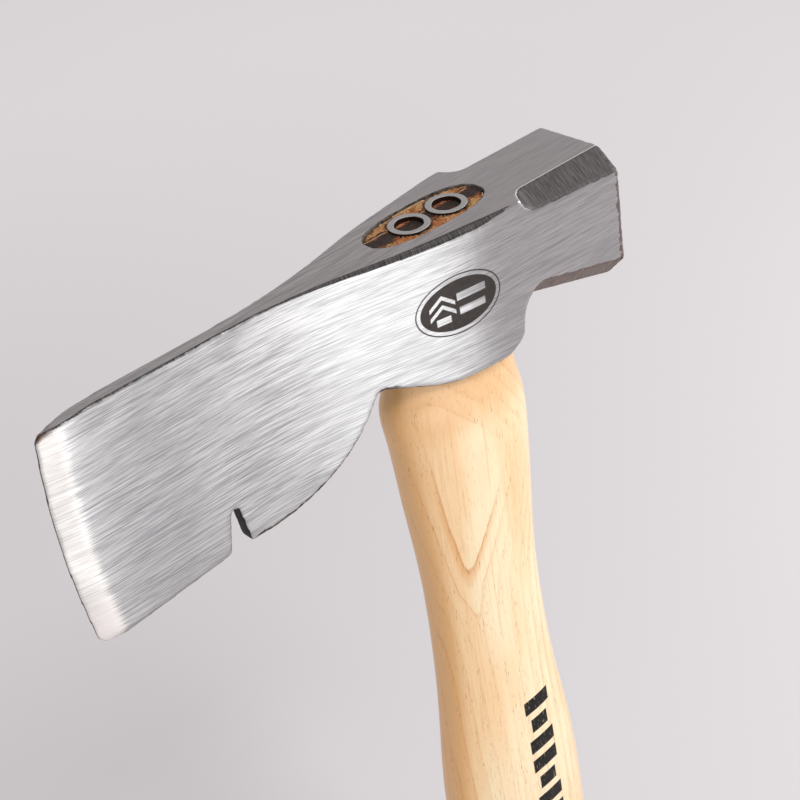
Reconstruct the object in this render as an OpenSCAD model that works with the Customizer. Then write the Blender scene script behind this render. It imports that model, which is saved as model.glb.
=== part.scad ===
// Roofing hatchet: forged steel head, hickory handle, one wood wedge and two round steel wedges.
// Origin: midway between the two round wedges, on the flat top of the head. +X runs to the striking face,
// -X to the cutting edge, +Z up out of the eye; the handle hangs down along -Z. Millimetres.

/* [Head] */
// Distance from the origin to the striking face
face_x = 48.5; // [45:0.5:50]
// Distance from the origin to the foremost point of the cutting edge
edge_x = 110.5; // [107:0.5:114]
// Half width of the cheeks at the striking face
face_half_w = 15.7; // [15.4:0.1:16.4]
// Half width of the cheeks beside the eye, where the blade taper would start
eye_half_w = 13.3; // [13:0.1:14]
// Half thickness of the flat part of the blade
blade_half_t = 1.8; // [1.6:0.1:2.4]
// Depth of the toe corner of the cutting edge, below the top of the head
toe_drop = 1.6; // [1:0.1:2.4]
// Depth of the heel corner of the cutting edge
heel_z = 57.4; // [56.5:0.1:60]
// Depth of the skirt that wraps the handle
skirt_z = 38.8; // [38.2:0.1:39.6]
// Depth of the underside of the poll at the striking face
face_z = 35.7; // [35:0.1:36.5]

/* [Cutting edge] */
// Radius of the curve of the cutting edge
edge_r = 200; // [160:5:220]
// Depth of the foremost point of the cutting edge
edge_peak_z = 26.5; // [25:0.5:30]
// Length of the ground bevel behind the cutting edge
edge_bevel_l = 6; // [4:0.5:9]
// Half thickness left on the blunt cutting edge
edge_half_t = 0.35; // [0.25:0.05:0.6]

/* [Nail notch] */
// Width of the mouth of the nail notch
notch_w = 5.6; // [4.5:0.1:6.5]
// Depth of the nail notch
notch_d = 12; // [9:0.5:13]
// Radius of the closed end of the nail notch
notch_r = 1.1; // [0.6:0.1:1.3]
// Place of the mouth of the nail notch along the head
notch_x = -69.3; // [-72:0.1:-68]

/* [Poll] */
// Half width of the flat on top of the poll
poll_flat_half = 9.3; // [8.5:0.1:10]
// Slope of the upper corner flats
upper_flat_a = 40; // [36:1:45]
// Slope of the lower corner flats
lower_flat_a = 45; // [40:1:48]
// Radius of the wheel run-out where a corner flat starts
runout_r = 5.5; // [4.5:0.5:6.5]
// Width of the broken edge round the striking face
face_break = 0.6; // [0.4:0.1:1.6]

/* [Eye and wedges] */
// Length of the eye from the origin to its blade end, at the top
eye_front = 18.6; // [18:0.1:19]
// Length of the eye from the origin to its poll end, at the top
eye_back = 16.2; // [15.8:0.1:16.6]
// Width of the eye at the top
eye_w = 14; // [13.4:0.1:14.4]
// Size of the waist of the eye, as a share of its size at the top
eye_waist = 0.95; // [0.92:0.01:0.98]
// Depth of the waist of the eye
waist_z = 20; // [16:1:24]
// Thickness of the wood wedge at the top
wedge_t = 4.6; // [4:0.1:5]
// Thickness of the wood wedge at its tip
wedge_tip_t = 0.8; // [0.5:0.1:1.2]
// Length of the wood wedge, top to tip
wedge_l = 28; // [22:1:32]
// Outer diameter of a round steel wedge
ring_d = 10.2; // [9.5:0.1:10.6]
// Inner diameter of a round steel wedge
ring_bore_d = 7.2; // [6.8:0.1:7.6]
// Distance between the centres of the two round steel wedges
ring_pitch = 11.9; // [11.5:0.1:13]
// Length of a round steel wedge
ring_l = 12; // [9:0.5:14]
// Wall left at the driven end of a round steel wedge
ring_tip_wall = 0.4; // [0.3:0.1:0.6]
// How far the end grain sits below the rims of the round steel wedges
grain_sink = 0.35; // [0.2:0.05:0.6]
// How far the wood inside the round steel wedges sits below their rims
core_sink = 0.9; // [0.7:0.1:1.4]

/* [Handle] */
// Length from the top of the head to the butt
overall_l = 343; // [335:1:360]
// Half thickness of the handle at the throat, across the flat sides
throat_half_t = 10.2; // [9.5:0.1:10.6]
// Squareness of the oval section, where 2 is an ellipse
oval_power = 2.35; // [2.1:0.05:2.8]

/* [Hidden] */

clearance = 0.05;       // gap between parts that are driven together
chord_error = 0.01;     // largest gap between an arc and the straight steps that draw it
reach = 60;             // longer than any cut needs to be
side_half_w = 25;       // wider than the head
eye_power = 2.45;       // squareness of the oval of the eye, where 2 is an ellipse
eye_steps = 64;         // points round the eye
section_steps = 44;     // points round one oval section of the handle
span_steps = 3;         // sections between two stations of the handle
blade_depth = 54;       // depth of the blade between the nail notch and the belly
belly_r = 36;           // radius of the belly, from the nail notch up to the skirt
poll_slope = atan(0.276);                   // fall of the poll's underside
lower_flat_half = 9.6;                      // half width of the flat under the poll
neck = [16.2, -27.3];                       // inner corner between skirt and poll
skirt_rear_x = 13.2;    // rear corner of the skirt, at its lower end
ear_gap_x = 9;          // where the gap between the two ears of the skirt starts
ear_gap_half = 5.6;     // half width of the gap between the ears
upper_flat_x = 21.5;    // where the upper corner flats start
lower_flat_start = [20.5, 28.3];            // where the lower corner flats start, along and down
flat_spare = 5;         // how far the cut for a corner flat runs past the flat under or over the poll
flat_cut_w = 25;        // width of that cut, wider than any corner flat
cheek_bevel_start = [17.5, 14.45];          // poll end of the flat along the top of a cheek, in plan
cheek_bevel_turn = 8.8; // angle in plan between that flat and the axis of the head
cheek_bevel_l = 42;     // length of the cut for that flat
notch_flare = 0.6;      // how much wider the cut for the notch gets below the blade
notch_tip_shift = 0.5;  // how far the closed end of the notch leans to the poll
tenon_l = 41;           // depth at which the tenon joins the grip
spare = 2;              // how far a cut runs past the surface it opens
edge_swing = 6;         // how far each end of the cutting edge leans back, in degrees
edge_corner_x = -edge_x - edge_r * (1 / cos(edge_swing) - 1);
steel = [0.62, 0.63, 0.65];
hickory = [0.93, 0.76, 0.55];
burnt_wood = [0.22, 0.13, 0.09];
ground_steel = [0.72, 0.72, 0.71];

function unit(v) = v / norm(v);
function wrap(a) = a > 180 ? a - 360 : a < -180 ? a + 360 : a;
function power(v, p) = sign(v) * pow(abs(v), p);

// Points of the fillet of radius r at corner b, between neighbours a and c
function fillet(a, b, c, r) =
    let (u = unit(a - b), v = unit(c - b), half = acos(u * v) / 2)
    let (centre = b + unit(u + v) * r / sin(half))
    let (start = b + u * r / tan(half) - centre, finish = b + v * r / tan(half) - centre)
    let (a0 = atan2(start.y, start.x), sweep = wrap(atan2(finish.y, finish.x) - a0))
    let (steps = ceil(abs(sweep) / (2 * acos(1 - chord_error / r))))
    [for (i = [0:steps]) centre + r * [cos(a0 + sweep * i / steps), sin(a0 + sweep * i / steps)]];

// Place along the head of a line that leans back with the cutting edge, at depth z
function edge_line_x(z) = edge_corner_x + abs(z - edge_peak_z) * tan(edge_swing);

// Outline through corners [x, y, radius], with a fillet at each corner whose radius is over 0
function rounded(corners) = [
    for (i = [0:len(corners) - 1])
    let (n = len(corners), a = corners[(i + n - 1) % n], b = corners[i], c = corners[(i + 1) % n])
    each b.z > 0
        ? fillet([a.x, a.y], [b.x, b.y], [c.x, c.y], b.z)
        : [[b.x, b.y]]
];

// Oval of power p, with its ends at [front, 0] and [-back, 0] and its sides at half
function oval(front, back, half, p, steps) = [
    for (i = [0:steps - 1])
    let (t = 360 * i / steps, c = cos(t), s = sin(t))
    [(c < 0 ? front : back) * power(c, 2 / p), half * power(s, 2 / p)]
];

// Side view of the head, [x, z, corner radius], clockwise from the top of the striking face
function side_corners() = [
    [face_x, 0, 0],
    [face_x, -face_z, 0],
    [neck.x, neck.y, 1.8],
    [skirt_rear_x, -skirt_z, 10],
    [-8.3, -skirt_z, 38],
    [-27.3, -32.2, 2.2],
    [-38, -blade_depth, belly_r],
    [notch_x + notch_w / 2, -blade_depth, 0],
    [notch_x - notch_w / 2, -blade_depth - 0.3, 0],
    [edge_line_x(heel_z), -heel_z, 3],
    [edge_corner_x, -edge_peak_z, edge_r],
    [edge_line_x(toe_drop), -toe_drop, 2],
    [-97, 0, 60]
];

// Plan of the near half of the head, [x, y, corner radius], from the striking face to the edge
function plan_corners() = [
    [face_x, -face_half_w, 0],
    [-1.5, -eye_half_w, 120],
    [-45.7, -blade_half_t - 0.3, 140],
    [edge_bevel_l - edge_x, -blade_half_t, 0],
    [-edge_x - spare, -blade_half_t, 0]
];

// Plan of the whole head: the near half and its mirror image
function plan_outline() =
    let (near = rounded(plan_corners()), far = [for (p = near) [p.x, -p.y]])
    concat(near, [for (i = [len(far) - 1:-1:0]) far[i]]);

module both_sides() {
    children();
    mirror([0, 1, 0]) children();
}

// Extrudes a side view, drawn in x and z, across the width
module across(half_w) {
    rotate([90, 0, 0])
        linear_extrude(height = 2 * half_w, center = true)
            children();
}

module side_prism() {
    across(side_half_w) polygon(rounded(side_corners()));
}

// Eye, tapered from the top down to its waist and straight below it; grow moves the wall outward
module eye(grow, top, bottom) {
    outline = oval(eye_front + grow, eye_back + grow, eye_w / 2 + grow, eye_power, eye_steps);
    translate([0, 0, -waist_z])
        linear_extrude(height = waist_z + top, scale = 1 / eye_waist)
            scale(eye_waist)
                polygon(outline);
    translate([0, 0, -bottom])
        linear_extrude(height = bottom - waist_z)
            scale(eye_waist)
                polygon(outline);
}

// Open gap between the ears of the skirt, behind the eye and under the poll; the handle fills it
module ear_gap(grow) {
    half = ear_gap_half + grow;
    translate([ear_gap_x, -half, -reach])
        cube([neck.x - ear_gap_x + grow, 2 * half, reach + neck.y - 0.2 + grow]);
}

// Flat ground on an upper or lower corner of the poll, with the round run-out of the wheel
module corner_flat(start, half, slope, fall) {
    translate([start.x, half, start.y])
        rotate([0, fall, 0])
            rotate([slope, 0, 0])
                translate([0, -flat_spare, 0]) {
                    cube([reach, flat_cut_w, 2 * runout_r]);
                    translate([0, 0, runout_r])
                        rotate([-90, 0, 0])
                            cylinder(h = flat_cut_w, r = runout_r, $fn = 48);
                }
}

module poll_flats() {
    both_sides() corner_flat([upper_flat_x, 0], poll_flat_half, -upper_flat_a, 0);
    mirror([0, 0, 1])
        both_sides() corner_flat(lower_flat_start, lower_flat_half, -lower_flat_a, -poll_slope);
}

// Breaks one edge of the striking face; angle turns about the axis of the poll
module edge_break(angle, distance) {
    translate([face_x, 0, -face_z / 2])
        rotate([angle, 0, 0])
            translate([0, 0, distance])
                rotate([0, 45, 0])
                    cube([face_break * sqrt(2), reach, face_break * sqrt(2)], center = true);
}

module face_breaks() {
    edge_break(0, face_z / 2);
    edge_break(180, face_z / 2);
    edge_break(90, face_half_w);
    edge_break(-90, face_half_w);
}

// Ring whose section leaves a thin wedge of steel behind the curved cutting edge
module edge_bevel() {
    outside_r = edge_r + spare;
    both_sides()
        translate([edge_r - edge_x, 0, -edge_peak_z])
            rotate([-90, 0, 0])
                rotate_extrude($fn = 360)
                    polygon([
                        [edge_r - edge_bevel_l, blade_half_t],
                        [edge_r, edge_half_t],
                        [outside_r, edge_half_t],
                        [outside_r, side_half_w],
                        [edge_r - edge_bevel_l, side_half_w]
                    ]);
}

// Flat ground along the top edge of each cheek, widest beside the eye
module cheek_bevel() {
    both_sides()
        translate(cheek_bevel_start)
            rotate([0, 0, cheek_bevel_turn - 180])
                rotate([45, 0, 0])
                    translate([0, -reach / 2, 0])
                        cube([cheek_bevel_l, reach, side_half_w]);
}

module notch() {
    half_angle = atan(notch_w / 2 / notch_d);
    tip = notch_d + notch_r * (1 / sin(half_angle) - 1) - blade_depth;
    across(side_half_w)
        polygon(rounded([
            [notch_x - notch_w / 2 - notch_flare, -reach, 0],
            [notch_x - notch_w / 2, -blade_depth, 0],
            [notch_x + notch_tip_shift, tip, notch_r],
            [notch_x + notch_w / 2, -blade_depth, 0],
            [notch_x + notch_w / 2 + notch_flare, -reach, 0]
        ]));
}

module head() {
    color(steel)
        difference() {
            intersection() {
                side_prism();
                translate([0, 0, -reach])
                    linear_extrude(height = reach + spare)
                        polygon(plan_outline());
            }
            eye(0, spare, reach);
            ear_gap(0);
            notch();
            poll_flats();
            face_breaks();
            edge_bevel();
            cheek_bevel();
        }
}

// Handle stations: [z, half depth to the blade side, half depth to the poll side, half thickness]
function stations() = [
    [-28, 16.4, 15.2, 7.2],
    [-40, 19.7, 17.3, 9.6],
    [-47, 21.8, 18.2, 10.8],
    [-58, 20.6, 20.2, 11],
    [-76, 19.4, 19.5, 10.8],
    [-106, 17.4, 17.5, throat_half_t],
    [-140, 18.3, 18.8, throat_half_t + 0.4],
    [-175, 21.4, 23, 11.8],
    [-208, 21.8, 24.2, 12.2],
    [93 - overall_l, 20, 22.6, 12],
    [53 - overall_l, 18.4, 21.2, 11.4],
    [21 - overall_l, 23, 23.4, 12.4],
    [6 - overall_l, 26, 24.4, 13],
    [1.5 - overall_l, 25.2, 23.6, 12.4],
    [-overall_l, 23.4, 21.8, 10.8]
];

// Catmull-Rom curve through the stations, at share t of the span that starts at station i
function between(i, t) =
    let (s = stations(), last = len(s) - 1)
    let (a = s[max(i - 1, 0)], b = s[i], c = s[min(i + 1, last)], d = s[min(i + 2, last)])
    b + t * (c - a) / 2 + t * t * (a - 2.5 * b + 2 * c - d / 2) + pow(t, 3) * (1.5 * (b - c) + (d - a) / 2);

function grip_sections() = [
    for (i = [0:len(stations()) - 2])
    for (k = [0:(i == len(stations()) - 2 ? span_steps : span_steps - 1)])
    between(i, k / span_steps)
];

module grip() {
    sections = grip_sections();
    n = section_steps;
    count = len(sections);
    points = [
        for (s = sections)
        for (p = oval(s[1], s[2], s[3], oval_power, n))
        [p.x, p.y, s[0]]
    ];
    walls = [
        for (i = [0:count - 2])
        for (j = [0:n - 1])
        let (a = i * n + j, b = i * n + (j + 1) % n)
        each [[a, b, b + n], [a, b + n, a + n]]
    ];
    top = [for (j = [0:n - 1]) n - 1 - j];
    bottom = [for (j = [0:n - 1]) (count - 1) * n + j];
    polyhedron(points, concat([top], walls, [bottom]), convexity = 6);
}

// Section of the wood wedge, seen along the eye
function wedge_section(grow) = [
    [-wedge_t / 2 - grow, 0.01],
    [wedge_t / 2 + grow, 0.01],
    [wedge_tip_t / 2 + grow, -wedge_l - grow],
    [-wedge_tip_t / 2 - grow, -wedge_l - grow]
];

module wedge_body(grow) {
    rotate([90, 0, 90])
        linear_extrude(height = 2 * reach, center = true)
            polygon(wedge_section(grow));
}

// Round steel wedge: straight bore, wall tapered on the outside to a thin driven end
module ring_body(grow, top) {
    translate([0, 0, -ring_l - grow])
        rotate_extrude($fn = 96)
            polygon([
                [ring_bore_d / 2 - grow, 0],
                [ring_bore_d / 2 + ring_tip_wall + grow, 0],
                [ring_d / 2 + grow, ring_l + grow],
                [ring_d / 2 + grow, ring_l + grow + top],
                [ring_bore_d / 2 - grow, ring_l + grow + top]
            ]);
}

// Room for the round steel wedges, with the hollow left inside each of them
module ring_slots() {
    for (side = [-1, 1])
        translate([side * ring_pitch / 2, 0, 0]) {
            ring_body(clearance, spare);
            translate([0, 0, -core_sink])
                cylinder(h = core_sink + spare, r = ring_bore_d / 2, $fn = 96);
        }
}

// Everything below the end grain, which is cut off a little under the rims of the round steel wedges
module below_grain() {
    translate([-reach, -reach, -reach])
        cube([2 * reach, 2 * reach, reach - grain_sink]);
}

module handle() {
    color(hickory)
        difference() {
            union() {
                difference() {
                    grip();
                    difference() {
                        translate([0, 0, -clearance]) side_prism();
                        ear_gap(-clearance);
                    }
                }
                intersection() {
                    eye(-clearance, spare, tenon_l);
                    below_grain();
                }
            }
            wedge_body(clearance);
            ring_slots();
        }
}

module wood_wedge() {
    color(burnt_wood)
        difference() {
            intersection() {
                wedge_body(0);
                eye(-clearance, spare, tenon_l);
                below_grain();
            }
            ring_slots();
        }
}

module ring_wedge(side) {
    color(ground_steel)
        translate([side * ring_pitch / 2, 0, 0])
            ring_body(0, 0);
}

module ring_wedge_poll() {
    ring_wedge(1);
}

module ring_wedge_blade() {
    ring_wedge(-1);
}

head();
handle();
wood_wedge();
ring_wedge_poll();
ring_wedge_blade();
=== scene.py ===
import math

import bmesh
import bpy
import numpy as np
from mathutils import Matrix, Vector, noise
from mathutils.bvhtree import BVHTree


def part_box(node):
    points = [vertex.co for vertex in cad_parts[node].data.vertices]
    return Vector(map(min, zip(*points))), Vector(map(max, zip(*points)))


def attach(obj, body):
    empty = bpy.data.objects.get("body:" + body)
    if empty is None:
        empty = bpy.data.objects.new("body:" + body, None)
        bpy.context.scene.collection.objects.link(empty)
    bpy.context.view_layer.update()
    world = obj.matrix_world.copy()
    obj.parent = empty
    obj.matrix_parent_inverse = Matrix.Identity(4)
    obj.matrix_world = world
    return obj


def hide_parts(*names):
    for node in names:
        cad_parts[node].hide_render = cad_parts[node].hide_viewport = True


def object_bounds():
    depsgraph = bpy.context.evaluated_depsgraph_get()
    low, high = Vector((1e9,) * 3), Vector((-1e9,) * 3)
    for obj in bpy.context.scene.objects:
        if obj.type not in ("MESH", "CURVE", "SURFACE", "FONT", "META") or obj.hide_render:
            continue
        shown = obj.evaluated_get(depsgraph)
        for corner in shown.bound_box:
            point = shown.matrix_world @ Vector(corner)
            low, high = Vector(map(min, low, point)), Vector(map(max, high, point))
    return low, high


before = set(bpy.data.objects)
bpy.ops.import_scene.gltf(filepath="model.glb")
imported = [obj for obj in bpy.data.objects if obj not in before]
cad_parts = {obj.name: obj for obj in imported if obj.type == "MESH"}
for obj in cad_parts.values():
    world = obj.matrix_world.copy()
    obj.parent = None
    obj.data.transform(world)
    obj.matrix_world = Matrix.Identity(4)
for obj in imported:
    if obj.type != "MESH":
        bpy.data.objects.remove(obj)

# The looks of a roofing hatchet, built on its CAD frame. Blender works in metres; the sizes here are in
# millimetres, turned into metres by MM. +X runs to the striking face, -X to the cutting edge, +Z up out
# of the eye, and the cheek that the camera sees faces -Y.
MM = 0.001
CAD_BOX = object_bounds()

# Along the head: its cutting edge and its striking face, where the ground flats of its poll start, and
# its nail notch. Then the two ends of the eye, half its width, and half the width of the wood wedge.
EDGE_X, FACE_X = [corner.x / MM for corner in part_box("head")]
POLL_X = 14
NOTCH_X = -69.3
EYE_X = [corner.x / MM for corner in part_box("wood_wedge")]
EYE_HALF = 7
WEDGE_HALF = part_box("wood_wedge")[1].y / MM
RINGS = ["ring_wedge_poll", "ring_wedge_blade"]
RING_X = [(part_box(name)[0].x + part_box(name)[1].x) / 2 / MM for name in RINGS]
RING_R = (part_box(RINGS[0])[1].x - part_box(RINGS[0])[0].x) / 2 / MM


# ---------------------------------------------------------------- mesh tools

def smoothstep(value, low, high):
    """0 below low, 1 above high and a smooth rise between; low may be the larger."""
    share = np.clip((value - low) / (high - low), 0, 1)
    return share * share * (3 - 2 * share)


def get_points(mesh):
    """A mesh's vertices in millimetres."""
    flat = np.empty(len(mesh.vertices) * 3)
    mesh.vertices.foreach_get("co", flat)
    return flat.reshape(-1, 3) / MM


def set_points(mesh, points):
    """Moves a mesh's vertices to points, in millimetres."""
    mesh.vertices.foreach_set("co", (points * MM).ravel())
    mesh.update()


def get_edges(mesh):
    """The two vertices of each edge of a mesh."""
    flat = np.empty(len(mesh.edges) * 2, int)
    mesh.edges.foreach_get("vertices", flat)
    return flat.reshape(-1, 2)


def store(mesh, name, values):
    """Keeps one number a vertex for the materials to read."""
    attribute = mesh.attributes.new(name, "FLOAT", "POINT")
    attribute.data.foreach_set("value", values.astype(np.float32))


def smooth_min(a, b, reach):
    """The smaller of a and b, rounded off where they differ by less than half of reach."""
    share = np.clip(0.5 + (a - b) / reach, 0, 1)
    return a + (b - a) * share - reach / 2 * share * (1 - share)


def noise_at(points, size, seed=0.0):
    """Smooth noise from about -1 to 1 at each point. size: that of its lumps, alike or one an axis."""
    places = points / np.array(size) + seed
    return np.array([noise.noise(Vector(place)) for place in places])


def neighbour_mean(values, edges):
    """Mean of the values at each vertex's neighbours."""
    total = np.zeros_like(values)
    np.add.at(total, edges[:, 0], values[edges[:, 1]])
    np.add.at(total, edges[:, 1], values[edges[:, 0]])
    counts = np.bincount(edges.ravel(), minlength=len(values))
    return total / counts.reshape(-1, *[1] * (values.ndim - 1))


def blurred(values, edges, rounds):
    """The values with each vertex drawn towards its neighbours, rounds times over."""
    values = values.astype(float)
    for _ in range(rounds):
        values = (values + neighbour_mean(values, edges)) / 2
    return values


def welded(node):
    """The CAD node's mesh as triangles that share their corners."""
    copy = bmesh.new()
    copy.from_mesh(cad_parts[node].data)
    bmesh.ops.remove_doubles(copy, verts=copy.verts, dist=0.001 * MM)
    bmesh.ops.triangulate(copy, faces=copy.faces)
    return copy


def distance_to(node, points):
    """How far each point is from a CAD node's surface."""
    tree = BVHTree.FromBMesh(welded(node))
    return np.array([tree.find_nearest(Vector(p * MM))[3] for p in points]) / MM


def along(places, values, step, pick, at):
    """pick (np.max or np.min) of the values in each step of places, read back smoothly at others."""
    bins = np.round(places / step).astype(int)
    keys = np.unique(bins)
    picked = [pick(values[bins == key]) for key in keys]
    return np.interp(at, keys * step, picked)


# ---------------------------------------------------------------- skins on the CAD surface

# Edges are softened less in the eye, which reaches EYE_MARGIN past the wood wedge and EYE_DEPTH down.
EYE_MARGIN = 1.5
EYE_DEPTH = 3
EYE_PULL = 0.35

# How far a round of softening draws a vertex towards its neighbours, and how much farther at an edge.
PULL = 0.2
EDGE_PULL = 0.4
SHARP = 0.004


def remeshed(source, cell, warp):
    """An evenly faced closed mesh round source. warp stretches it first, for finer cells there."""
    mesh = bpy.data.meshes.new("cells")
    source.to_mesh(mesh)
    set_points(mesh, warp(get_points(mesh)))
    holder = bpy.data.objects.new("cells", mesh)
    bpy.context.scene.collection.objects.link(holder)
    modifier = holder.modifiers.new("cells", "REMESH")
    modifier.mode = "VOXEL"
    modifier.voxel_size = cell * MM
    evaluated = holder.evaluated_get(bpy.context.evaluated_depsgraph_get())
    result = bpy.data.meshes.new_from_object(evaluated)
    bpy.data.objects.remove(holder)
    return result


def in_eye(points):
    """True for the points at the top of the eye, where every edge stays crisp."""
    x, y, z = points.T
    lengthways = (x > EYE_X[0] - EYE_MARGIN) & (x < EYE_X[1] + EYE_MARGIN)
    return lengthways & (np.abs(y) < EYE_HALF + 1) & (z > -EYE_DEPTH)


def steadied(facing, edges):
    """The normals, with each one that disagrees with neighbours that agree replaced by their mean."""
    mean = neighbour_mean(facing, edges)
    length = np.linalg.norm(mean, axis=1)
    stray = (length > 0.8) & ((facing * mean).sum(axis=1) < 0.5 * length)
    facing[stray] = mean[stray] / length[stray, None]
    return facing


def sharpness(facing, edges):
    """1 at the vertices where the normals turn sharply, and less at the two rows beside them."""
    spread = 1 - np.linalg.norm(neighbour_mean(facing, edges), axis=1)
    edge = (spread > SHARP).astype(float)
    for _ in range(2):
        edge = np.maximum(edge, neighbour_mean(edge, edges))
    return edge


def soften(node, cell, warp, unwarp, rounds):
    """A new mesh on the CAD node's surface with its sharp edges rounded.
    Returns the mesh, its points, the CAD normal nearest each point, and how near a sharp edge it is."""
    source = welded(node)
    tree = BVHTree.FromBMesh(source)
    mesh = remeshed(source, cell, warp)
    hits = [tree.find_nearest(Vector(p * MM)) for p in unwarp(get_points(mesh))]
    points = np.array([hit[0] for hit in hits]) / MM
    edges = get_edges(mesh)
    facing = steadied(np.array([hit[1] for hit in hits]), edges)
    edge = sharpness(facing, edges)
    pull = PULL + EDGE_PULL * np.clip(edge * 1.5, 0, 1)
    pull *= np.where(in_eye(points), EYE_PULL, 1)
    for _ in range(rounds):
        points += pull[:, None] * (neighbour_mean(points, edges) - points)
    set_points(mesh, points)
    return mesh, points, facing, edge


def plain(points):
    """The points as they are, for the pieces that need no warp."""
    return points


def widened(points):
    """The head is thin across, so its cells are finer that way."""
    return points * [1, 2, 1]


def narrowed(points):
    """Undoes widened."""
    return points / [1, 2, 1]


# The handle's cells are long below its shoulder, where it only has long curves.
SHOULDER_Z = -45
LONG_CELL = 0.4


def squeezed(points):
    """The handle, shortened below its shoulder."""
    below = np.minimum(points[:, 2] - SHOULDER_Z, 0)
    return points - np.outer(below * (1 - LONG_CELL), [0, 0, 1])


def unsqueezed(points):
    """Undoes squeezed."""
    below = np.minimum(points[:, 2] - SHOULDER_Z, 0)
    return points + np.outer(below * (1 / LONG_CELL - 1), [0, 0, 1])


# ---------------------------------------------------------------- the head

# The cheeks are where a normal's y is past CHEEK. The bevel of the cutting edge is looked for before
# BEVEL_X, and everything before TIP_X is cut. CUT_BLUR rounds of blurring soften its inner line.
CHEEK = 0.9
BEVEL_X = -100
TIP_X = -106
CUT_BLUR = 26

# The size of the head's mesh cells, the bulge of the striking face, the dents in its rim, the nicks in
# edges and the forged unevenness.
HEAD_CELL = 0.58
CROWN = 0.15
RIM_WEAR = 0.28
NICK = 0.07
WAVE = 0.035


def head_masks(points, facing, edges):
    """Where the steel is ground dark, cut bright and left raw, each from 0 to 1."""
    x = points[:, 0]
    across, up = np.abs(facing[:, 1]), facing[:, 2]
    runout = (facing[:, 0] > 0.2) & (across > 0.12) & (x > POLL_X) & (x < POLL_X + 10)
    ground = np.maximum(smoothstep(np.abs(facing[:, 1] * up), 0.2, 0.35), runout)
    bevel = smoothstep(np.abs(facing[:, 0]), 0.12, 0.2) * (across > CHEEK) * (x < BEVEL_X)
    cut = np.maximum(bevel, x < TIP_X)
    striking = (facing[:, 0] > 0.9) & (x > FACE_X - 2)
    raw = (across < 0.4) & (up < 0.5) & ~striking
    return blurred(ground, edges, 3), blurred(cut, edges, CUT_BLUR), blurred(raw, edges, 2)


def crowned(points):
    """The points with the striking face drawn back towards its rim, so that it bulges a little."""
    x, y, z = points.T
    on_face = x > FACE_X - 0.3
    middle_z, half_w = z[on_face].mean(), np.abs(y[on_face]).max()
    from_middle = np.clip((y / half_w) ** 2 + ((z - middle_z) / half_w) ** 2, 0, 1.2)
    back = CROWN * from_middle * smoothstep(x, FACE_X - 6, FACE_X)
    return points - np.outer(back, [1, 0, 0])


def eased_bevel(points, facing, edges, cut):
    """The points with the inner line of the cutting bevel smoothed across the cheeks."""
    crease = np.clip(6 * cut * (1 - cut), 0, 1) * (np.abs(facing[:, 1]) > CHEEK)
    ease = blurred(crease, edges, 4) * (blurred(points[:, 1], edges, 36) - points[:, 1])
    return points + np.outer(ease, [0, 1, 0])


def worn(points, facing, edge):
    """The points with a dented rim round the striking face, nicked edges and an uneven surface."""
    rim = edge * smoothstep(points[:, 0], FACE_X - 3.5, FACE_X - 1)
    wear = RIM_WEAR * rim * np.maximum(noise_at(points, 1.6), 0)
    nick = NICK * edge * noise_at(points, (1.1, 3, 1.1), 7.0)
    wave = WAVE * noise_at(points, (9, 30, 6), 3.0) * (1 - edge)
    return points + facing * (wave + nick - wear)[:, None]


def head_mesh():
    """The forging: crowned striking face with a worn rim, softly broken edges and hand-ground flats."""
    mesh, points, facing, edge = soften("head", HEAD_CELL, widened, narrowed, 6)
    edges = get_edges(mesh)
    ground, cut, raw = head_masks(points, facing, edges)
    x, z = points[:, 0], points[:, 2]
    store(mesh, "ground", ground)
    store(mesh, "cut", cut)
    store(mesh, "raw", raw)
    store(mesh, "depth", along(x, z, 1.0, np.max, x) - z)
    store(mesh, "height", z - along(x, z, 1.0, np.min, x))
    points = eased_bevel(crowned(points), facing, edges, cut)
    set_points(mesh, worn(points, facing, edge))
    return mesh


# ---------------------------------------------------------------- the handle and its wedges

HANDLE_CELL = 0.52
WEDGE_CELL = 0.4

# The growth rings on the near side are nested V shapes. APEX is the foot of the innermost V, LEAN and
# ARM_RISE say how its middle and its arms climb, and RUN and RUN_SHIFT how the rings run on below it.
# Under the shoulder they close along a line through CLOSE_PLACE, square to CLOSE_TOWARDS.
APEX = (-11.5, -102)
APEX_ROUND = 1.2
LEAN = 0.125
ARM_RISE = 3
RUN = 14
RUN_SHIFT = 3
CLOSE_PLACE = (-10.2, -45.7)
CLOSE_TOWARDS = (0.778, 0.628)
CLOSE_BLEND = 5

# How far apart the rings are, how they spread out inside the V, and how they crowd round the handle's
# sides and towards its far side.
RING_STEP = 4.3
RING_SPREAD = 2.6
SIDE_CROWD = 7
DEPTH_CROWD = 1.1
RING_WOBBLE = 0.22


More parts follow.
